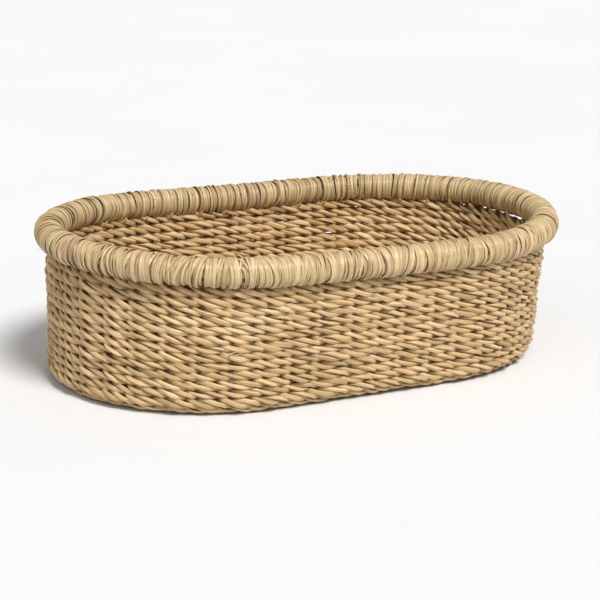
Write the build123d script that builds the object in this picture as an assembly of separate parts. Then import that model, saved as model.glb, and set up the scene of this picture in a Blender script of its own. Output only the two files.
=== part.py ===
from build123d import *

import math
import os

# An oval basket twined from dry grass, in millimetres.
# X runs along the basket, Z is up, and the flat base stands on z = 0 with the origin at its middle.
# Every strand is a plain closed solid of its true size and place. The two weavers of a wall row really
# cross between the stakes: here weaver_a is the band outside the stakes and weaver_b the band inside.

# The oval is two straight sides joined by two half circles.
STRAIGHT_HALF = 74.0
WALL_RADIUS = 122.5  # half circle through the middle of the wall
RIM_OVERHANG = 4.0  # how far the rim's centre line stands outside the middle of the wall

# Strands
WEAVER = 3.2  # thickness of one weaver
WEAVER_ROUNDING = 1.2
STAKE_SLOT = 2.2  # room between the two weavers of a row
STAKE_THICK = 2.0
STAKE_WIDTH = 4.0
STAKE_COUNT = 46  # upright stakes round the wall

# Rows
WALL_ROWS = 13
ROW_PITCH = 6.75
FOOT_HEIGHT = 6.4  # outer height of the foot row, which turns the corner
FOOT_WIDTH = 8.0  # how far the foot row reaches under the base, from the middle of the wall
FOOT_ROUNDING = 4.5
BASE_ROWS = 14
ROW_GAP = 0.1  # between curved faces that lie side by side
BASE_CENTRE_BARS = 5  # strands along the middle of the base, in each of its two layers

# Rim
RIM_HEIGHT = 106.0  # centre line of the rim above the ground
RIM_RADIUS = 11.3
WRAP_THICK = 2.0
WRAP_STRETCHES = 12  # lengths of strip wound one after another
STEM_RADIUS = 3.0
STEMS_ROUND_MIDDLE = 6
STEM_GAP = 0.1
STAKE_TIP_GAP = 0.3  # between the stakes' tips and the rim

# Worked out from the above
BASE_THICK = 2 * WEAVER + STAKE_SLOT
UPPER_LAYER = WEAVER + STAKE_SLOT + WEAVER / 2  # height of the middle of the base's upper strands
BASE_OUTER_RADIUS = WALL_RADIUS - FOOT_WIDTH
BASE_CENTRE_RADIUS = BASE_OUTER_RADIUS - BASE_ROWS * ROW_PITCH
WEAVER_OFFSET = (WEAVER + STAKE_SLOT) / 2  # middle of a weaver from the middle of the wall
FAN_RADIUS = BASE_CENTRE_RADIUS + 4.0  # where the end stakes stop, short of crowding together
RIM_PATH_RADIUS = WALL_RADIUS + RIM_OVERHANG
STAKE_OUTER_OVERLAP = RIM_OVERHANG - STAKE_THICK / 2  # from the rim's centre line to a stake's outer face
STAKE_TOP = RIM_HEIGHT - math.sqrt(RIM_RADIUS**2 - STAKE_OUTER_OVERLAP**2) - STAKE_TIP_GAP


def oval_path(radius, height):
    """Closed path round the oval, starting at the left end of the front side."""
    left, right = -STRAIGHT_HALF, STRAIGHT_HALF
    front = Line((left, -radius, height), (right, -radius, height))
    right_end = ThreePointArc((right, -radius, height), (right + radius, 0, height), (right, radius, height))
    back = Line((right, radius, height), (left, radius, height))
    left_end = ThreePointArc((left, radius, height), (left - radius, 0, height), (left, -radius, height))
    return Wire([front.edge(), right_end.edge(), back.edge(), left_end.edge()])


def ring(section, radius, height):
    """Carry a section round the oval: two straight runs and two half turns. Its x points outward, its y up."""
    corner = Plane(origin=(STRAIGHT_HALF, -radius, height), x_dir=(0, -1, 0), z_dir=(-1, 0, 0))
    side = extrude(corner * section, amount=2 * STRAIGHT_HALF)
    end = revolve(corner * section, axis=Axis((STRAIGHT_HALF, 0, 0), (0, 0, 1)), revolution_arc=180)
    half = side + end
    return half + Rot(0, 0, 180) * half


def wall_weaver(row, side):
    """One weaver of a wall row: side is +1 outside the stakes and -1 inside them."""
    section = RectangleRounded(WEAVER, ROW_PITCH, WEAVER_ROUNDING)
    height = FOOT_HEIGHT + (row - 0.5) * ROW_PITCH
    return ring(section, WALL_RADIUS + side * WEAVER_OFFSET, height)


def foot_outer_weaver():
    """Runs under and outside the stakes where they turn up, with a rounded outer corner."""
    outer = WEAVER_OFFSET + WEAVER / 2
    inner = STAKE_SLOT / 2
    outline = Polyline(
        (-FOOT_WIDTH + ROW_GAP, 0),
        (outer, 0),
        (outer, FOOT_HEIGHT),
        (inner, FOOT_HEIGHT),
        (inner, WEAVER),
        (-FOOT_WIDTH + ROW_GAP, WEAVER),
        close=True,
    )
    section = make_face(outline)
    corner = section.vertices().sort_by(Axis.Y)[:2].sort_by(Axis.X)[-1]
    return ring(fillet(corner, FOOT_ROUNDING), WALL_RADIUS, 0)


def foot_inner_weaver():
    """Fills the inner corner, above the stakes and inside the first wall row."""
    outer = -WEAVER_OFFSET - WEAVER / 2 - ROW_GAP
    width = FOOT_WIDTH - ROW_GAP + outer
    section = RectangleRounded(width, WEAVER, WEAVER_ROUNDING)
    return ring(section, WALL_RADIUS + outer - width / 2, UPPER_LAYER)


def base_row(row):
    """One row of the base: a weaver under the stakes and a weaver over them."""
    radius = BASE_OUTER_RADIUS - (row - 0.5) * ROW_PITCH
    section = RectangleRounded(ROW_PITCH - ROW_GAP, WEAVER, WEAVER_ROUNDING)
    return Compound([ring(section, radius, height).solid() for height in (WEAVER / 2, UPPER_LAYER)])


def base_centre():
    """Strands laid lengthwise in the middle of the base, under and over the crossing stakes."""
    radius = BASE_CENTRE_RADIUS - ROW_GAP
    pitch = 2 * radius / BASE_CENTRE_BARS
    solids = []
    for height in (WEAVER / 2, UPPER_LAYER):
        middle = Pos(0, 0, height - WEAVER / 2) * SlotCenterToCenter(2 * STRAIGHT_HALF, 2 * radius)
        oval = extrude(middle, amount=WEAVER)
        for i in range(BASE_CENTRE_BARS):
            y = (i - (BASE_CENTRE_BARS - 1) / 2) * pitch
            bar = Box(2 * (STRAIGHT_HALF + radius), pitch - ROW_GAP, 2 * WEAVER)
            solids.append((oval & (Pos(0, y, height) * bar)).solid())
    return Compound(solids)


def cross_stake():
    """A stake that runs up the front, under the base and up the back."""
    height = STAKE_TOP - WEAVER
    run = Pos(0, 0, WEAVER + STAKE_THICK / 2) * Box(STAKE_WIDTH, 2 * WALL_RADIUS, STAKE_THICK)
    upright = Box(STAKE_WIDTH, STAKE_THICK, height)
    middle = WEAVER + height / 2
    return run + Pos(0, -WALL_RADIUS, middle) * upright + Pos(0, WALL_RADIUS, middle) * upright


def end_stake():
    """A stake that fans out under an end of the base and turns up. It points along X from the end's centre."""
    height = STAKE_TOP - WEAVER
    length = WALL_RADIUS - FAN_RADIUS
    run = Box(length, STAKE_WIDTH, STAKE_THICK)
    upright = Box(STAKE_THICK, STAKE_WIDTH, height)
    placed = Pos(FAN_RADIUS + length / 2, 0, WEAVER + STAKE_THICK / 2) * run
    return placed + Pos(WALL_RADIUS, 0, WEAVER + height / 2) * upright


def stakes():
    """All stakes at even spacing round the wall, with none at the middle of a straight side."""
    spacing = (4 * STRAIGHT_HALF + 2 * math.pi * WALL_RADIUS) / STAKE_COUNT
    across, fan = cross_stake(), end_stake()
    solids = []
    for i in range(STAKE_COUNT // 2):
        along = (i + 0.5) * spacing  # from the middle of the front side, towards +X
        if along < STRAIGHT_HALF:
            solids += [(Pos(x, 0, 0) * across).solid() for x in (along, -along)]
            continue
        angle = math.degrees((along - STRAIGHT_HALF) / WALL_RADIUS) - 90
        if angle > 90:
            break
        for centre_x, turn in ((STRAIGHT_HALF, angle), (-STRAIGHT_HALF, 180 - angle)):
            solids.append((Pos(centre_x, 0, 0) * Rot(0, 0, turn) * fan).solid())
    return Compound(solids)


def rim_core():
    """A bundle of stems: one in the middle and the others round it."""
    stem = Circle(STEM_RADIUS)
    spread = 2 * STEM_RADIUS + STEM_GAP
    solids = [ring(stem, RIM_PATH_RADIUS, RIM_HEIGHT).solid()]
    for i in range(STEMS_ROUND_MIDDLE):
        angle = 2 * math.pi * i / STEMS_ROUND_MIDDLE
        radius = RIM_PATH_RADIUS + spread * math.cos(angle)
        solids.append(ring(stem, radius, RIM_HEIGHT + spread * math.sin(angle)).solid())
    return Compound(solids)


def rim_wrap(stretch):
    """The strips wound round one stretch of the rim, as a tube over the stems."""
    start, end = (stretch - 1) / WRAP_STRETCHES, stretch / WRAP_STRETCHES
    path = oval_path(RIM_PATH_RADIUS, RIM_HEIGHT).trim(start, end)
    plane = Plane(origin=path @ 0, z_dir=path % 0)
    return sweep(plane * (Circle(RIM_RADIUS) - Circle(RIM_RADIUS - WRAP_THICK)), path=path)


def sub_parts():
    """Every sub-part by node name."""
    parts = {
        "stakes": stakes(),
        "base_centre": base_centre(),
        "foot_row_weaver_a": foot_outer_weaver(),
        "foot_row_weaver_b": foot_inner_weaver(),
        "rim_core": rim_core(),
    }
    for row in range(1, BASE_ROWS + 1):
        parts[f"base_row_{row:02d}"] = base_row(row)
    for row in range(1, WALL_ROWS + 1):
        parts[f"wall_row_{row:02d}_weaver_a"] = wall_weaver(row, 1)
        parts[f"wall_row_{row:02d}_weaver_b"] = wall_weaver(row, -1)
    for stretch in range(1, WRAP_STRETCHES + 1):
        parts[f"rim_wrap_{stretch:02d}"] = rim_wrap(stretch)
    return parts


os.makedirs("parts", exist_ok=True)
for name, shape in sub_parts().items():
    export_step(shape, f"parts/{name}.step")
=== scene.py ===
import math

import bpy
import numpy as np
from mathutils import Matrix, Vector


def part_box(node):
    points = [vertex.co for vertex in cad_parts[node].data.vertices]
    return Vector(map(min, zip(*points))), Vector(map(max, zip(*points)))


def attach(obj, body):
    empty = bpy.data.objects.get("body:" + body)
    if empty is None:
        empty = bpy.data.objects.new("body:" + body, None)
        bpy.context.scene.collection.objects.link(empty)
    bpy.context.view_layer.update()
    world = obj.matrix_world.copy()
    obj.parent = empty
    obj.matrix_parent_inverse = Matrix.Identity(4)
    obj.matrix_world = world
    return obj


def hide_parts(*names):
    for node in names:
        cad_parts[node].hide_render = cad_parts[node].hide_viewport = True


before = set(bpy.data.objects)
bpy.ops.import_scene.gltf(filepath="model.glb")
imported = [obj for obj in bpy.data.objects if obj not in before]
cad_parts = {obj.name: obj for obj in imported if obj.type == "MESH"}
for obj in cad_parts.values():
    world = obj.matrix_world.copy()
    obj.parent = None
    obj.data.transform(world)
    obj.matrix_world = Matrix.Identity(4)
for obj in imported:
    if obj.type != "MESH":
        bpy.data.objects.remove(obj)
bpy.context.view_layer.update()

MM = 0.001
rng = np.random.default_rng(46)

# --- the oval and its rows, in metres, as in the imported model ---
WALL_ROWS, BASE_ROWS, WRAP_STRETCHES = 13, 14, 12
STAKES = 46
STAKE_WIDTH, STAKE_THICK = 4.0 * MM, 2.0 * MM
STAKE_ROOM = 2.2 * MM  # between the outer and the inner band of a row
OUTER_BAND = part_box("wall_row_01_weaver_a")
INNER_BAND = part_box("wall_row_01_weaver_b")
RIM_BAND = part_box("rim_wrap_01")
ROW_PITCH = OUTER_BAND[1].z - OUTER_BAND[0].z
STRAIGHT_HALF = OUTER_BAND[1].x - OUTER_BAND[1].y
WEAVER = OUTER_BAND[1].y - INNER_BAND[1].y - STAKE_ROOM  # thickness of one band
WALL_RADIUS = OUTER_BAND[1].y - WEAVER - STAKE_ROOM / 2
BASE_MIDDLE_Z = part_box("base_row_01")[1].z / 2
BASE_CENTRE_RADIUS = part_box("base_centre")[1].y
RIM_CENTRE_Z = (RIM_BAND[0].z + RIM_BAND[1].z) / 2
RIM_RADIUS = RIM_BAND[1].z - RIM_CENTRE_Z
RIM_PATH_RADIUS = -RIM_BAND[0].y - RIM_RADIUS
CORNER_RADIUS = 5.5 * MM  # of the turn from wall to base, through the middle of the weave
BASE_STAKE_SPACING = 24 * MM  # along the half circles of a base row
STRIP_PITCH = 2.5 * MM  # of the turns round the rim
BASE_STRANDS = 10  # laid lengthwise in the middle of the base
BASE_STRAND_WIDE = 1.6  # against their spacing, which nearly closes the slits between them
FAN_GAP = 4 * MM  # between the end stakes and the middle of the base
TIP_HUG = 1.9 * MM  # from the rim's surface to the middle of a stake's tip
CORE_STEMS, CORE_SPREAD, CORE_RADIUS = 7, 5.8 * MM, 2.9 * MM  # one stem in the middle, the others round it

# --- how this basket leans, flares and sags ---
LEAN_X, LEAN_Y = 5.4 * MM, -2.0 * MM  # how far the rim stands over from the base
FLARE_TOP, FLARE_BOTTOM = 1.7 * MM, -1.9 * MM  # how far the wall stands out at the rim and at the foot
RIM_TILT = -0.016  # height for each metre along X
RIM_SAG = 0.115  # height over the square of X
SAG_MIDDLE = 0.02  # the square of X at which the sag lifts and lowers nothing

SKY_LIGHT, SKY_SEEN = 0.36, 0.92  # how bright the studio is as a light and as a backdrop

# --- strands ---
STRAND_OUT = 2.6 * MM  # how far a weaver swings out and in round the stakes
STRAND_UP = 1.75 * MM  # how far it rises and falls between them
PLY_APART = 1.62 * MM  # from the middle of a weaver to the middle of a ply
PLY_HIGH, PLY_DEEP = 1.76 * MM, 1.62 * MM  # half sizes of a full ply
PLY_STAGGER = 0.40  # radians by which one ply leads the other
UNDER_LAYER = 1.0 * MM  # how much lower the rim's first layer of strip lies
STRIP_DOWN = 1.25 * MM  # from the rim's surface to the middle of its strip
STRIP_CHANGE = 0.14  # share of a turn over which its shape changes to the next one's
FRAYED_ENDS = 7  # on each stretch of the rim
WALL_FINE, BASE_FINE = (12, 12), (9, 7)  # rings to each stake, and points round each ring
STUB_OUT = 3.4 * MM  # of the broken ends, from the middle of the wall
FOOT_SIZE = 1.05  # against a wall row
FOOT_LIFT, FOOT_FLAT = 0.7 * MM, 0.84  # keep the foot row on the ground
BASE_FLAT = 0.66  # keeps the base rows above the ground
OVERLAP = 0.35  # how far a weaver passes its own start at each end, in stakes
FOOT_ANGLE = math.radians(68)  # how far the foot row is tipped from upright towards the base
WEAVER_GIRTH, STAKE_GIRTH, STEM_GIRTH = 10 * MM, 9 * MM, 18 * MM  # distances round, for the pattern

# --- camera. Its distances are shares of half the rim's length ---
HALF_RIM = 0.2  # metres, to the rim's centre line
CAMERA_AWAY, CAMERA_RIGHT, CAMERA_UP, AIM_HEIGHT = 8, -0.007, -0.037, 0.2645
CAMERA_AZIMUTH, CAMERA_ELEVATION, CAMERA_ROLL = (math.radians(a) for a in (-26.9, 14.9, 0.14))
LENS = 121.8  # millimetres, on a sensor 36 wide
FLOOR_HALF, FLOOR_DROP = 6.0, 0.5 * MM  # half its side, and how far it lies below the ground plane


def smooth(t):
    return t * t * (3 - 2 * t)


def knots(at, heights):
    """A line through heights at 0, 1, 2 and so on, joined by smooth steps and held at both ends."""
    at = np.clip(at, 0, len(heights) - 1.001)
    low = np.floor(at).astype(int)
    part = smooth(at - low)
    return heights[low] * (1 - part) + heights[low + 1] * part


def wander(at, period, count, size):
    """A smooth random line that repeats after a period, through count random heights."""
    heights = rng.normal(0, size, count)
    at = (at / period * count) % count
    low = np.floor(at).astype(int) % count
    part = smooth(at - np.floor(at))
    return heights[low] * (1 - part) + heights[(low + 1) % count] * part


class Oval:
    """Places round an oval. q counts stakes from the middle of the front side, anticlockwise from above."""

    def __init__(self, stakes_on_end=None):
        spacing = (4 * STRAIGHT_HALF + 2 * math.pi * WALL_RADIUS) / STAKES
        self.side = STRAIGHT_HALF / spacing
        self.end = stakes_on_end or math.pi * WALL_RADIUS / spacing
        self.stakes = 4 * self.side + 2 * self.end

    def at(self, q, radius):
        """x, y and the outward direction at q, where the half circles have that radius."""
        half = self.stakes / 2
        q = np.asarray(q, float) % self.stakes
        back = q >= half
        h = np.where(back, q - half, q)
        angle = (np.clip((h - self.side) / self.end, 0, 1) - 0.5) * math.pi
        nx, ny = np.cos(angle), np.sin(angle)
        along = np.minimum(np.minimum(h, half - h) / self.side, 1) * STRAIGHT_HALF
        turn = np.where(back, -1.0, 1.0)
        return (along + radius * nx) * turn, radius * ny * turn, nx * turn, ny * turn


WALL_OVAL = Oval()


def lean(points):
    """The basket's lean, half of it each way from mid-height, and its tilt and sag, which grow upward."""
    x, y, z = points.T
    up = z / RIM_CENTRE_Z
    lift = RIM_TILT * x + RIM_SAG * (x * x - SAG_MIDDLE)
    lift = lift * np.clip(up, 0, 1.2) ** 2
    return np.stack([x + LEAN_X * (up - 0.5), y + LEAN_Y * (up - 0.5), z + lift], 1)


def lean_rings(rings):
    return lean(rings.reshape(-1, 3)).reshape(rings.shape)


def flare(z):
    """How far the wall stands out at height z."""
    return FLARE_BOTTOM + (FLARE_TOP - FLARE_BOTTOM) * np.clip(z / RIM_CENTRE_Z, 0, 1)


# --- meshes ---
class Mesh:
    """Collects tubes into one piece, with how each point lies on its strand: grain, tone, and the painted
    shade that darkens it.
    """

    def __init__(self):
        self.points, self.faces, self.grain, self.tone, self.painted_shade = [], [], [], [], []
        self.count = 0

    def tube(self, rings, grain, tone, painted_shade):
        """rings is (n, m, 3): n rings of m points. The ends are closed."""
        n, m = rings.shape[:2]
        start = self.count + np.arange(n - 1)[:, None] * m
        i, j = np.arange(m), (np.arange(m) + 1) % m
        quads = np.stack([start + i, start + j, start + m + j, start + m + i], -1).reshape(-1, 4)
        self.faces += quads.tolist()
        self.faces += [list(range(self.count, self.count + m))[::-1]]
        self.faces += [list(range(self.count + (n - 1) * m, self.count + n * m))]
        self.points.append(rings.reshape(-1, 3))
        self.grain.append(grain.reshape(-1, 3))
        self.tone.append(np.broadcast_to(tone, (n, m)).reshape(-1))
        self.painted_shade.append(np.broadcast_to(painted_shade, (n, m)).reshape(-1))
        self.count += n * m

    def piece(self, name, material, node):
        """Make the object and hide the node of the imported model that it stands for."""
        mesh = bpy.data.meshes.new(name)
        mesh.from_pydata(np.concatenate(self.points).tolist(), [], self.faces)
        grain = mesh.attributes.new("grain", "FLOAT_VECTOR", "POINT")
        grain.data.foreach_set("vector", np.concatenate(self.grain).astype(np.float32).ravel())
        for key, values in (("tone", self.tone), ("painted_shade", self.painted_shade)):
            layer = mesh.attributes.new(key, "FLOAT", "POINT")
            layer.data.foreach_set("value", np.concatenate(values).astype(np.float32))
        mesh.materials.append(material)
        mesh.polygons.foreach_set("use_smooth", [True] * len(mesh.polygons))
        mesh.update()
        made = bpy.data.objects.new(name, mesh)
        bpy.context.scene.collection.objects.link(made)
        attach(made, "root")
        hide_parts(node)


def strand_rings(centre, out, up, deep, high, ridge_turn, sides):
    """Rings round a centre line, with soft lengthwise ridges. deep and high are half sizes, out and up."""
    a = np.arange(sides) / sides * 2 * math.pi
    ridge = 1 + 0.17 * np.cos(3 * a + ridge_turn[:, None])
    u = (deep[:, None] * np.cos(a) * ridge)[..., None] * out[:, None, :]
    v = (high[:, None] * np.sin(a) * ridge)[..., None] * up[:, None, :]
    return centre[:, None, :] + u + v


def grain_of(centre, sides, girth, ident):
    """Where each point lies along and around its strand, for the pattern. ident sets the strands apart."""
    step = np.linalg.norm(np.diff(centre, axis=0), axis=1)
    along = np.concatenate([[0], np.cumsum(step)])
    around = np.arange(sides) / sides * girth
    return np.stack(np.broadcast_arrays(along[:, None], around[None, :], ident), -1)


def broken_end(mesh, root, outward, run, length, radius, lift):
    """A short loose end that leaves the surface, thins to a point and curls. lift is its slope outward."""
    t = np.linspace(0, 1, 6)
    sway = rng.normal(0, 0.2, 3)
    line = root + np.outer(t * length, run)
    line = line + np.outer(t**1.5 * length * lift, outward) + np.outer(t * t * length, sway)
    thin = radius * (1 - 0.85 * t)
    out, up = np.tile(outward, (6, 1)), np.tile(np.cross(run, outward), (6, 1))
    rings = strand_rings(line, out, up, thin * 0.7, thin, t, 6)
    mesh.tube(rings, grain_of(line, 6, 6 * radius, rng.uniform(0, 100)), rng.uniform(0.3, 0.75), 0.0)


def blade_tones(q, period):
    """One tone for each blade of grass along a strand, which changes where a new blade is laid in."""
    blades = rng.integers(3, 7)
    tones = np.clip(rng.normal(0.5, 0.12, blades + 1), 0, 1)
    tones[rng.random(blades + 1) < 0.04] = rng.uniform(0.7, 0.85)
    at = (q - q[0]) / period * blades
    low = np.clip(np.floor(at).astype(int), 0, blades)
    part = np.clip((at - low) * 12 - 11, 0, 1)
    return tones[low] * (1 - part) + tones[np.clip(low + 1, 0, blades)] * part


STAKE_DRIFT = rng.normal(0, 0.05, STAKES + 1)
STAKE_DRIFT[-1] = STAKE_DRIFT[0]
NO_RISE = np.zeros(STAKES + 1)
WALL_RISE = wander(np.arange(STAKES + 1), STAKES, 15, 0.4 * MM)
BACKNESS = 0.5 - 0.5 * np.cos(np.arange(STAKES + 1) / STAKES * 2 * math.pi)  # 0 mid-front, 1 mid-back
TOP_RISE = 2.6 * MM * BACKNESS + wander(np.arange(STAKES + 1), STAKES, 11, 0.8 * MM)


def row_frame(q, oval, radius, height, angle):
    """The middle of a row at q, with its outward and upward directions tipped by angle."""
    x, y, nx, ny = oval.at(q, radius)
    level = np.stack([nx, ny, np.zeros(len(q))], 1)
    out = level * math.cos(angle) - np.array([0, 0, math.sin(angle)])
    up = level * math.sin(angle) + np.array([0, 0, math.cos(angle)])
    middle = np.stack([x, y, np.full(len(q), height)], 1) + level * flare(height)
    return middle, out, up


def swing(phase, twist, size, tight):
    """How far out and up a ply lies, as its weaver swings round the stakes and its plies round each other."""
    across = np.cos(phase)
    out_by = STRAND_OUT * np.sign(across) * np.abs(across) ** 0.76 * tight + PLY_APART * 0.92 * np.cos(twist)
    up_by = -STRAND_UP * np.sin(phase) - PLY_APART * np.sin(twist)
    return size * out_by, size * up_by


def fullness(phase):
    """How thick a ply is: thin on its way out or in, full over a stake, fullest hidden inside the wall."""
    across = np.cos(phase)
    over_stake = 0.25 * np.abs(across) ** 1.5
    crossing = 0.58 * np.exp(-((across / 0.32) ** 2))
    swung = np.abs(across) ** 0.5 * np.where(across > 0, 0.07, 0.15)
    return 0.74 + over_stake + crossing + swung


def weave_shade(out_by, reach, sides):
    """Painted shade for each point of a ply, by how deep in the weave it lies: 0 at its front, more at its
    back and the crossings.
    """
    depth = np.clip(0.55 - 0.55 * np.abs(out_by) / reach, 0, 1)
    facing = np.cos(np.arange(sides) / sides * 2 * math.pi)[None, :] * np.sign(out_by)[:, None]
    return depth[:, None] + 0.35 * (1 - facing)


def stub_ends(mesh, oval, radius, height, rise, stubs):
    """Tufts of broken ends at random places on a row, inside or outside."""
    for _ in range(stubs):
        place, side = rng.uniform(0, oval.stakes), rng.choice((-1.0, 1.0))
        x, y, nx, ny = oval.at(place, radius)
        level = np.array([nx, ny, 0.0])
        rise_here = np.interp(place, np.arange(STAKES + 1), rise)
        root = np.array([x, y, height + rise_here + rng.uniform(-1.5, 1.5) * MM])
        root = lean((root + level * (flare(height) + side * STUB_OUT))[None])[0]
        run = np.array([-ny, nx, rng.normal(-0.25, 0.3)]) * rng.choice((-1.0, 1.0))
        run = run / np.linalg.norm(run)
        for _ in range(rng.integers(1, 4)):
            turned = run + rng.normal(0, 0.18, 3)
            length, thick = rng.uniform(4, 9) * MM, rng.uniform(0.4, 0.9) * MM
            broken_end(mesh, root, level * side, turned, length, thick, 0.35)


def twined_row(
    pieces, oval, radius, height, angle=0.0,
    size=1.0, flat=1.0, fine=WALL_FINE, rise=NO_RISE, stubs=0, dim=0.0,
):
    """Two weavers of two plies each, crossing between every two stakes.

    pieces holds the name and node of each weaver. angle is 0 on the wall and a quarter turn on the base: it
    tips the row's outward side down. size makes the strands heavier and flat presses the row thinner. fine is
    how closely it is drawn, and rise its extra height at each stake. stubs is how many tufts of broken ends
    each weaver has, and dim darkens a row in the shade of the rim."""
    stakes = oval.stakes
    steps, sides = fine
    first = stakes * 0.5 + rng.uniform(-6, 6)
    q = np.linspace(first - OVERLAP, first + stakes + OVERLAP, int((stakes + 2 * OVERLAP) * steps))
    stake_places = np.linspace(0, stakes, STAKES + 1)
    drift = np.interp(q % stakes, stake_places, STAKE_DRIFT) + wander(q, stakes, 23, 0.03)
    lift = wander(q, stakes, 17, 0.14 * MM) + np.interp(q % stakes, stake_places, rise)
    in_out = wander(q, stakes, 13, 0.25 * MM)
    turns = round(stakes / 2) * 2 / stakes  # half turns for each stake, so that the row closes on itself
    end = np.clip(np.minimum(q - q[0], q[-1] - q) / OVERLAP, 0.02, 1) ** 0.5
    middle, out, up = row_frame(q, oval, radius, height, angle)
    for weaver, (name, node) in enumerate(pieces):
        mesh = Mesh()
        swell = 1 + wander(q, stakes, int(stakes), 0.09)
        tight = 1 + wander(q, stakes, int(stakes), 0.08)
        for ply in (-0.5, 0.5):
            phase = math.pi * ((q - 0.5 + drift) * turns + weaver) + ply * PLY_STAGGER
            twist = phase + math.pi * ply + wander(q, stakes, int(stakes * 0.8), 0.32) - 0.15
            thick = size * swell * (1 + wander(q, stakes, int(stakes * 1.3), 0.10)) * fullness(phase) * end
            out_by, up_by = swing(phase, twist, size, tight)
            out_by = (out_by * end + in_out) * flat
            centre = middle + out * out_by[:, None] + up * (up_by * end + lift)[:, None]
            ridges = rng.uniform(0, 6) + q * rng.uniform(1.5, 3.0)
            rings = strand_rings(centre, out, up, PLY_DEEP * thick * flat, PLY_HIGH * thick, ridges, sides)
            # painted shade from the ply's depth in the weave, plus the rim's shade on the top rows
            painted_shade = np.clip(weave_shade(out_by, STRAND_OUT * flat * 1.2, sides) + dim, 0, 1)
            tone = blade_tones(q, stakes)[:, None]
            grain = grain_of(centre, sides, WEAVER_GIRTH, rng.uniform(0, 100))
            mesh.tube(lean_rings(rings), grain, tone, painted_shade)
        stub_ends(mesh, oval, radius, height, rise, stubs)
        mesh.piece(name, WEAVE, node)


# --- materials ---
def srgb(r, g, b):
    """The linear colour of an 8-bit sRGB one."""
    return tuple(((c / 255 + 0.055) / 1.055) ** 2.4 for c in (r, g, b)) + (1.0,)


WEAVE_TONES = (
    (0.0, srgb(192, 168, 118)),
    (0.22, srgb(198, 168, 116)),
    (0.45, srgb(220, 186, 136)),
    (0.65, srgb(234, 203, 154)),
    (0.82, srgb(221, 183, 136)),
    (1.0, srgb(206, 164, 122)),
)
STRIP_TONES = (
    (0.0, srgb(182, 164, 120)),
    (0.2, srgb(202, 178, 130)),
    (0.45, srgb(218, 190, 142)),
    (0.65, srgb(230, 203, 156)),
    (0.84, srgb(208, 172, 134)),
    (1.0, srgb(180, 140, 118)),
)


class Nodes:
    """Short calls for building a node tree."""

    def __init__(self, name):
        self.material = bpy.data.materials.new(name)
        self.material.use_nodes = True
        self.tree = self.material.node_tree
        self.shader = self.tree.nodes["Principled BSDF"]

    def new(self, kind, inputs=(), **settings):
        node = self.tree.nodes.new(kind)
        for key, value in settings.items():
            setattr(node, key, value)
        for key, value in dict(inputs).items():
            if isinstance(value, bpy.types.NodeSocket):
                self.tree.links.new(value, node.inputs[key])
            else:
                node.inputs[key].default_value = value
        return node

    def attribute(self, name):
        return self.new("ShaderNodeAttribute", attribute_name=name)

    def math(self, kind, a, b=0.0, clamp=False):
        return self.new("ShaderNodeMath", {0: a, 1: b}, operation=kind, use_clamp=clamp).outputs[0]

    def noise(self, vector, scale, detail=3.0, rough=0.55):
        sizes = self.new("ShaderNodeVectorMath", {0: vector, 1: scale}, operation="MULTIPLY").outputs[0]
        inputs = {"Vector": sizes, "Scale": 1.0, "Detail": detail, "Roughness": rough}
        return self.new("ShaderNodeTexNoise", inputs).outputs[0]

    def ramp(self, value, stops):
        node = self.new("ShaderNodeValToRGB", {0: value})
        elements = node.color_ramp.elements
        while len(elements) < len(stops):
            elements.new(0.5)
        for element, (place, colour) in zip(elements, stops):
            element.position = place
            element.color = colour
        return node.outputs[0]

    def mix(self, kind, factor, a, b):
        node = self.new("ShaderNodeMix", data_type="RGBA", blend_type=kind)
        for key, value in ((0, factor), (6, a), (7, b)):
            if isinstance(value, bpy.types.NodeSocket):
                self.tree.links.new(value, node.inputs[key])
            else:
                node.inputs[key].default_value = value
        return node.outputs[2]


def straw(name, tones, streak, rough, shade_colour, shade_strength):
    """Dry grass: a tone for each blade, lengthwise fibres, blotches over the whole, and painted shade in the
    crevices.
    """
    n = Nodes(name)
    grain = n.attribute("grain").outputs["Vector"]
    tone = n.attribute("tone").outputs["Fac"]
    painted_shade = n.attribute("painted_shade").outputs["Fac"]
    place = n.new("ShaderNodeTexCoord").outputs["Object"]
    fibres = n.noise(grain, (40, 2600, 3), 2.0, 0.6)
    blades = n.noise(grain, (30, 900, 3), 2.0, 0.5)
    blotches = n.noise(grain, (42, 90, 1), 3.0)
    patches = n.noise(place, (16, 16, 16), 2.0)
    spots = n.noise(grain, (150, 500, 1), 2.0)
    shifted = n.math("ADD", tone, n.math("MULTIPLY", n.math("SUBTRACT", blotches, 0.5), 0.5))
    shifted = n.math("ADD", shifted, n.math("MULTIPLY", n.math("SUBTRACT", patches, 0.5), 0.5))
    colour = n.ramp(shifted, tones)
    both = n.math("ADD", n.math("MULTIPLY", fibres, 0.45), n.math("MULTIPLY", blades, 0.55))
    dim = 1 - streak
    light = n.ramp(both, ((0.40, (dim, dim * 0.96, dim * 0.90, 1)), (0.57, (1, 1, 1, 1))))
    colour = n.mix("MULTIPLY", 1.0, colour, light)
    dark = n.ramp(spots, ((0.64, (0, 0, 0, 1)), (0.76, (1, 1, 1, 1))))
    colour = n.mix("MIX", n.math("MULTIPLY", dark, 0.4), colour, srgb(134, 92, 48))
    # painted shade: crevices and hidden sides of each strand are mixed towards a shade brown
    deep = n.math("MULTIPLY", n.math("POWER", painted_shade, 1.5), shade_strength, clamp=True)
    colour = n.mix("MIX", deep, colour, shade_colour)
    n.tree.links.new(colour, n.shader.inputs["Base Color"])
    n.tree.links.new(n.math("ADD", n.math("MULTIPLY", fibres, 0.25), rough), n.shader.inputs["Roughness"])
    n.shader.inputs["Specular IOR Level"].default_value = 0.4
    height = n.math("ADD", both, n.math("MULTIPLY", blotches, 0.4))
    bump = n.new("ShaderNodeBump", {"Strength": 0.8, "Distance": 0.0007, "Height": height})
    n.tree.links.new(bump.outputs[0], n.shader.inputs["Normal"])
    return n.material


# the colour of the painted shade in the crevices
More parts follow.
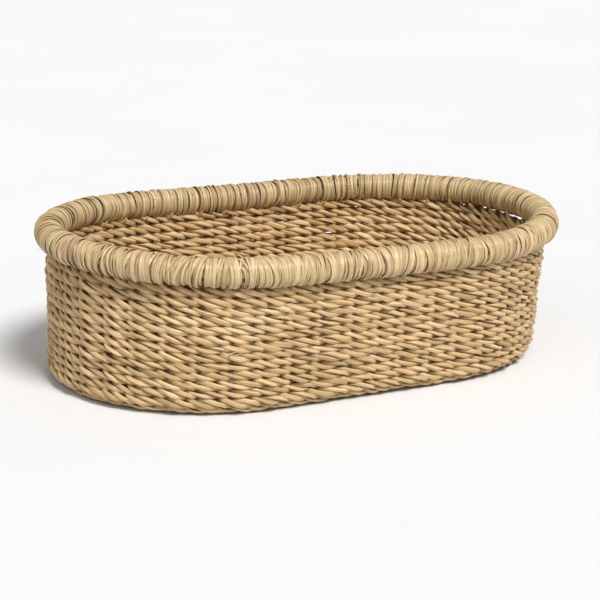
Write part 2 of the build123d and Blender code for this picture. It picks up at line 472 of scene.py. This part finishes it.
SHADE_BROWN = srgb(88, 58, 26)
WEAVE = straw("woven_straw", WEAVE_TONES, 0.36, 0.40, SHADE_BROWN, 0.80)
STRIP = straw("wrapped_straw", STRIP_TONES, 0.45, 0.20, SHADE_BROWN, 0.7)
STEM = straw("stem_straw", WEAVE_TONES, 0.25, 0.5, SHADE_BROWN, 0.6)


# --- the rim ---
def rim_frame(s):
    """Centre and outward direction of the rim's centre line at stake places s."""
    x, y, nx, ny = WALL_OVAL.at(s, RIM_PATH_RADIUS)
    centre = np.stack([x, y, np.full(len(s), RIM_CENTRE_Z)], 1)
    return lean(centre), np.stack([nx, ny, np.zeros(len(s))], 1)


def rim_points(place, angle, reach):
    """Points round the rim's centre line: angle 0 is outward, a quarter turn is up."""
    shape = place.shape
    centre, out = rim_frame(place.reshape(-1))
    angle, reach = np.broadcast_to(angle, shape).reshape(-1), reach.reshape(-1)
    points = centre + out * (np.cos(angle) * reach)[:, None]
    points[:, 2] += np.sin(angle) * reach
    return points.reshape(*shape, 3)


def rim_strip(start, share, turns, sunk=0.0):
    """One flat strip wound side by side. Its turns differ in width, height, slant, tone and creases.

    sunk is above 0 for the plainer layer underneath, which closes the slits between the turns."""
    steps, section = (20, 8) if sunk else (34, 12)
    per_metre = WALL_OVAL.stakes / (4 * STRAIGHT_HALF + 2 * math.pi * RIM_PATH_RADIUS)
    turn = np.linspace(-0.06, turns + 0.06, turns * steps + 1)
    late = turn - STRIP_CHANGE / 2 + 1  # the change lies under the rim
    step = np.floor(late) + smooth(np.clip((late % 1 - (1 - STRIP_CHANGE)) / STRIP_CHANGE, 0, 1))
    kinds = turns + 3
    slips = knots(step, rng.normal(0, 0.28 * MM, kinds))
    slants = knots(step, rng.normal(0, 1.4 * MM, kinds)) + wander(turn, turns, 5, 1.4 * MM)
    half = knots(step, rng.uniform(1.15, 2.0, kinds) * MM) * (1 + wander(turn, turns, turns * 4, 0.12))
    level = knots(step, rng.uniform(-0.3, 0.8, kinds) * MM) + wander(turn, turns, turns * 4, 0.16 * MM)
    crown = knots(step, rng.uniform(0.7, 1.15, kinds) * MM)
    tilt = knots(step, rng.normal(0.12, 0.22, kinds)) + wander(turn, turns, turns * 3, 0.10)
    end = np.clip(np.minimum(turn - turn[0], turn[-1] - turn) / 0.08, 0.1, 1)
    half = half * (0.3 + 0.7 * end)
    if sunk:
        half, level, tilt = half * 0 + 1.7 * MM, level * 0.3 - sunk, tilt * 0.3
    angle = -math.pi / 2 + 2 * math.pi * turn  # from straight below, outward and over
    side = slips + slants * np.sin(2 * math.pi * turn + 0.6) + wander(turn, turns, turns * 4, 0.28 * MM)
    a = np.arange(section) / section * 2 * math.pi
    across = np.cos(a)[None, :] * half[:, None]
    creases = np.stack([knots(step, rng.uniform(0.35, 1.15, kinds)) for _ in range(section)], 1)
    top = np.sin(a) > 0.01
    round_by = np.where(top, 1.0, 0.3) * np.sin(a)  # the strip's lower side is flatter
    height = round_by[None, :] * crown[:, None] * np.where(top, creases, 1.0) + across * tilt[:, None]
    reach = RIM_RADIUS - STRIP_DOWN + (level - (1 - end) * MM)[:, None] + height
    place = (start + share * turn / turns + side * per_metre)[:, None] + across * per_metre
    rings = rim_points(place, angle[:, None], reach)
    tones = np.clip(rng.normal(0.48, 0.13, kinds) + rng.normal(0.0, 0.06), 0.02, 1)
    tones[rng.random(kinds) < 0.04] = rng.uniform(0.7, 0.95)
    tone = knots(step, tones)[:, None]
    # painted shade: darker at the strips' edges, more so where a strip lies low, on each strip's underside
    # and on the rim's underside
    edge = np.abs(np.cos(a))[None, :] ** 4
    low = np.clip(0.35 - level / MM * 0.6, 0, 1)[:, None]
    under = 0.45 * np.clip(-np.sin(angle) - 0.35, 0, 1)[:, None]  # dim where the wall below shades the rim
    painted_shade = np.clip(0.45 * edge + np.where(top, 0.0, 0.4)[None, :] + 0.6 * low * edge + under, 0, 1)
    along = (turn * 2 * math.pi * RIM_RADIUS)[:, None]
    ident = rng.uniform(0, 100) + np.floor(late)[:, None] * 0.37
    return rings, np.stack(np.broadcast_arrays(along, across + 5 * MM, ident), -1), tone, painted_shade


def rim_wrap():
    """The wrap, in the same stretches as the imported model."""
    around = 4 * STRAIGHT_HALF + 2 * math.pi * RIM_PATH_RADIUS
    turns = round(around / WRAP_STRETCHES / STRIP_PITCH)
    share = WALL_OVAL.stakes / WRAP_STRETCHES
    for stretch in range(WRAP_STRETCHES):
        start = stretch * share - WALL_OVAL.side
        mesh = Mesh()
        mesh.tube(*rim_strip(start, share, turns, UNDER_LAYER))
        mesh.tube(*rim_strip(start, share, turns))
        for _ in range(FRAYED_ENDS):
            q, angle = start + rng.uniform(0, share), rng.uniform(-0.5, 1.2) * math.pi
            root = rim_points(np.array([[q]]), angle, np.array([[RIM_RADIUS - 0.4 * MM]]))[0, 0]
            out = rim_frame(np.array([q]))[1][0] * math.cos(angle) + np.array([0, 0, math.sin(angle)])
            run = np.cross(out, rng.normal(0, 1, 3))
            broken_end(mesh, root, out, run / np.linalg.norm(run), rng.uniform(2.5, 6) * MM, 0.28 * MM, 0.4)
        name = f"rim_wrap_{stretch + 1:02d}"
        mesh.piece(name + "_strip", STRIP, name)


def rim_core():
    """The bundle of stems inside the wrap."""
    mesh = Mesh()
    count = 240
    q = np.linspace(0, WALL_OVAL.stakes, count)
    centre, out = rim_frame(q)
    up = np.tile([0.0, 0, 1], (count, 1))
    for stem in range(CORE_STEMS):
        angle = stem * 2 * math.pi / (CORE_STEMS - 1)
        spread = CORE_SPREAD if stem < CORE_STEMS - 1 else 0.0
        line = centre + out * math.cos(angle) * spread + up * math.sin(angle) * spread
        radius = np.full(count, CORE_RADIUS)
        rings = strand_rings(line, out, up, radius, radius, q * 0.2, 8)
        # painted shade on the stems, which lie inside the wrap
        mesh.tube(rings, grain_of(line, 8, STEM_GIRTH, rng.uniform(0, 100)), 0.4, 0.6)
    mesh.piece("rim_core_stems", STEM, "rim_core")


# --- stakes ---
def stake_path(inner, tip_angle):
    """Distance out from the middle of the wall, and height, along a stake from its inner end to its tip."""
    base = [(d, BASE_MIDDLE_Z) for d in np.linspace(inner, -CORNER_RADIUS, 6)]
    turn = []
    for a in np.linspace(0, math.pi / 2, 5)[1:]:
        in_by, up_by = CORNER_RADIUS * (1 - math.sin(a)), CORNER_RADIUS * (1 - math.cos(a))
        turn.append((-in_by, BASE_MIDDLE_Z + up_by))
    top = RIM_CENTRE_Z - RIM_RADIUS - 3.5 * MM
    rise = [(0.0, z) for z in np.linspace(BASE_MIDDLE_Z + 2 * CORNER_RADIUS, top, 10)]
    hug = RIM_RADIUS + TIP_HUG
    overhang = RIM_PATH_RADIUS - WALL_RADIUS - FLARE_TOP
    tip = []
    for a in np.linspace(math.radians(252), tip_angle, 6):
        tip.append((overhang + hug * math.cos(a), RIM_CENTRE_Z + hug * math.sin(a)))
    return np.array(base + turn + rise + tip)


def stakes():
    """Every stake runs out through the base and up inside the wall, and its point leans on the rim."""
    mesh = Mesh()
    fan_end = -(WALL_RADIUS - BASE_CENTRE_RADIUS - FAN_GAP)
    for i in range(STAKES):
        q = i + 0.5 - STAKE_DRIFT[i]
        crosses = min(q % (WALL_OVAL.stakes / 2), -q % (WALL_OVAL.stakes / 2)) < WALL_OVAL.side
        path = stake_path(-WALL_RADIUS if crosses else fan_end, math.radians(rng.uniform(208, 236)))
        count = len(path)
        x, y, nx, ny = WALL_OVAL.at(np.full(count, q), WALL_RADIUS + path[:, 0])
        level = np.stack([nx, ny, np.zeros(count)], 1)
        centre = np.stack([x, y, path[:, 1]], 1) + level * flare(path[:, 1])[:, None]
        side = np.stack([-ny, nx, np.zeros(count)], 1)
        run = np.gradient(centre, axis=0)
        run /= np.linalg.norm(run, axis=1)[:, None]
        out = np.cross(side, run)
        taper = np.ones(count)
        taper[-5:] = (1.0, 0.95, 0.8, 0.5, 0.12)
        wide = STAKE_WIDTH / 2 * taper * rng.uniform(0.8, 1.0)
        thin = STAKE_THICK / 2 * np.maximum(taper, 0.4)
        rings = strand_rings(centre, out, side, thin, wide, np.full(count, rng.uniform(0, 6)), 8)
        tone = np.clip(rng.normal(0.6, 0.08), 0, 1)
        # painted shade: heavy where the stake runs hidden in the wall, faint on its tip
        painted_shade = np.where(np.arange(count) > count - 6, 0.1, 0.7)[:, None]
        grain = grain_of(centre, 8, STAKE_GIRTH, rng.uniform(0, 100))
        mesh.tube(lean_rings(rings), grain, tone, painted_shade)
    mesh.piece("stakes_strands", STEM, "stakes")


# --- the base's middle ---
def base_centre():
    """Lengthwise strands that pass under and over the crossing stakes in turn."""
    mesh = Mesh()
    width = 2 * BASE_CENTRE_RADIUS / BASE_STRANDS
    spacing = STRAIGHT_HALF / WALL_OVAL.side
    for i in range(BASE_STRANDS):
        y = -BASE_CENTRE_RADIUS + (i + 0.5) * width
        reach = STRAIGHT_HALF + math.sqrt(BASE_CENTRE_RADIUS**2 - y * y) - 1 * MM
        count = int(2 * reach / (2.0 * MM))
        x = np.linspace(-reach, reach, count)
        end = np.clip(np.minimum(x - x[0], x[-1] - x) / (8 * MM), 0.1, 1)
        z = BASE_MIDDLE_Z + 2.2 * MM * np.cos(math.pi * (x / spacing - 0.5 + i)) * end
        centre = np.stack([x, np.full(count, y), z], 1)
        out = np.tile([0.0, 0, -1], (count, 1))
        side = np.tile([0.0, 1, 0], (count, 1))
        deep, high = PLY_DEEP * (0.4 + 0.6 * end), width / 2 * BASE_STRAND_WIDE * (0.5 + 0.5 * end)
        rings = strand_rings(centre, out, side, deep, high, x * 60, 8)
        grain = grain_of(centre, 8, WEAVER_GIRTH, rng.uniform(0, 100))
        tone = np.clip(rng.normal(0.5, 0.15), 0, 1)
        # a little painted shade on the base's middle strands
        mesh.tube(lean_rings(rings), grain, tone, 0.3)
    mesh.piece("base_centre_strands", WEAVE, "base_centre")


def wall():
    """Thirteen rows. The top few ride up towards the rim, more in some places than in others."""
    for row in range(1, WALL_ROWS + 1):
        height = OUTER_BAND[0].z + (row - 0.5) * ROW_PITCH
        high = (row - 0.5) / WALL_ROWS
        top = np.clip((row - 9) / (WALL_ROWS - 9), 0, 1)
        rise = WALL_RISE * high + TOP_RISE * top
        size = 1.0 + 0.06 * np.ceil(top)
        nodes = [f"wall_row_{row:02d}_weaver_{side}" for side in "ab"]
        pieces = [(node + "_strand", node) for node in nodes]
        # dim paints the rim's shade onto the top rows
        twined_row(pieces, WALL_OVAL, WALL_RADIUS, height, size=size, rise=rise, stubs=2, dim=0.3 * high**12)


def foot():
    """The row that turns the corner, between the wall and the base."""
    radius = WALL_RADIUS - CORNER_RADIUS * (1 - math.cos(FOOT_ANGLE))
    height = BASE_MIDDLE_Z + CORNER_RADIUS * (1 - math.sin(FOOT_ANGLE)) + FOOT_LIFT
    pieces = [(node + "_strand", node) for node in ("foot_row_weaver_a", "foot_row_weaver_b")]
    twined_row(pieces, WALL_OVAL, radius, height, FOOT_ANGLE, FOOT_SIZE, FOOT_FLAT)


def base():
    """The same weave carried on inward. The ends of the rows have fewer crossings as they get shorter."""
    for row in range(1, BASE_ROWS + 1):
        node = f"base_row_{row:02d}"
        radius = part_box(node)[1].y - ROW_PITCH / 2
        oval = Oval(max(math.pi * radius / BASE_STAKE_SPACING, 2))
        pieces = [(f"{node}_weaver_{side}_strand", node) for side in "ab"]
        twined_row(pieces, oval, radius, BASE_MIDDLE_Z, math.pi / 2, flat=BASE_FLAT, fine=BASE_FINE)


def direction(azimuth, elevation):
    """The unit vector towards a place seen from the basket. Azimuth 0 is straight in front."""
    level = math.cos(elevation)
    return Vector((math.sin(azimuth) * level, -math.cos(azimuth) * level, math.sin(elevation)))


def camera():
    """Looks at the basket from in front, to the left and a little above."""
    away = direction(CAMERA_AZIMUTH, CAMERA_ELEVATION)
    right = Vector((math.cos(CAMERA_AZIMUTH), math.sin(CAMERA_AZIMUTH), 0))
    up = away.cross(right)
    tilted_right = math.cos(CAMERA_ROLL) * right + math.sin(CAMERA_ROLL) * up
    tilted_up = math.cos(CAMERA_ROLL) * up - math.sin(CAMERA_ROLL) * right
    aim = Vector((LEAN_X / 2, LEAN_Y / 2, AIM_HEIGHT * HALF_RIM))
    eye = aim + away * CAMERA_AWAY * HALF_RIM
    eye = eye + tilted_right * CAMERA_RIGHT * HALF_RIM + tilted_up * CAMERA_UP * HALF_RIM
    data = bpy.data.cameras.new("camera")
    data.sensor_width = 36
    data.lens = LENS
    data.clip_end = 50
    made = bpy.data.objects.new("camera", data)
    turned = Matrix((tilted_right, tilted_up, away)).transposed().to_4x4()
    made.matrix_world = Matrix.Translation(eye) @ turned
    bpy.context.scene.collection.objects.link(made)
    bpy.context.scene.camera = made


def pale_floor():
    """A wide flat floor that takes the basket's shadow."""
    mesh = bpy.data.meshes.new("floor")
    s = FLOOR_HALF
    mesh.from_pydata([(-s, -s, 0), (s, -s, 0), (s, s, 0), (-s, s, 0)], [], [(0, 1, 2, 3)])
    floor = bpy.data.objects.new("floor", mesh)
    floor.location.z = -FLOOR_DROP
    bpy.context.scene.collection.objects.link(floor)
    paper = Nodes("pale_floor")
    spread = paper.noise(paper.new("ShaderNodeTexCoord").outputs["Object"], (3, 3, 3))
    shade = paper.ramp(spread, ((0.3, (0.80, 0.80, 0.80, 1)), (0.7, (0.82, 0.82, 0.82, 1))))
    paper.tree.links.new(shade, paper.shader.inputs["Base Color"])
    paper.shader.inputs["Roughness"].default_value = 0.9
    mesh.materials.append(paper.material)


def sun(name, azimuth, elevation, spread, strength):
    """A soft distant lamp. Angles are in degrees."""
    lamp = bpy.data.lights.new(name, "SUN")
    lamp.angle = math.radians(spread)
    lamp.energy = strength
    light = bpy.data.objects.new(name, lamp)
    away = direction(math.radians(azimuth), math.radians(elevation))
    light.rotation_euler = away.to_track_quat("Z", "Y").to_euler()
    bpy.context.scene.collection.objects.link(light)


def studio():
    """A white surround that the camera sees brighter than it shines."""
    world = bpy.data.worlds.new("studio")
    bpy.context.scene.world = world
    world.use_nodes = True
    tree = world.node_tree
    sky = tree.nodes["Background"]
    sky.inputs["Color"].default_value = (1, 1, 1, 1)
    seen = tree.nodes.new("ShaderNodeLightPath").outputs["Is Camera Ray"]
    strength = tree.nodes.new("ShaderNodeMapRange")
    strength.inputs["To Min"].default_value = SKY_LIGHT
    strength.inputs["To Max"].default_value = SKY_SEEN
    tree.links.new(seen, strength.inputs["Value"])
    tree.links.new(strength.outputs["Result"], sky.inputs["Strength"])
    bpy.context.scene.view_settings.view_transform = "Standard"


camera()
pale_floor()
sun("key_sun", 4, 52, spread=20, strength=3.15)
sun("fill_sun", -50, 35, spread=60, strength=0.3)
studio()
wall()
foot()
base()
base_centre()
stakes()
rim_core()
rim_wrap()
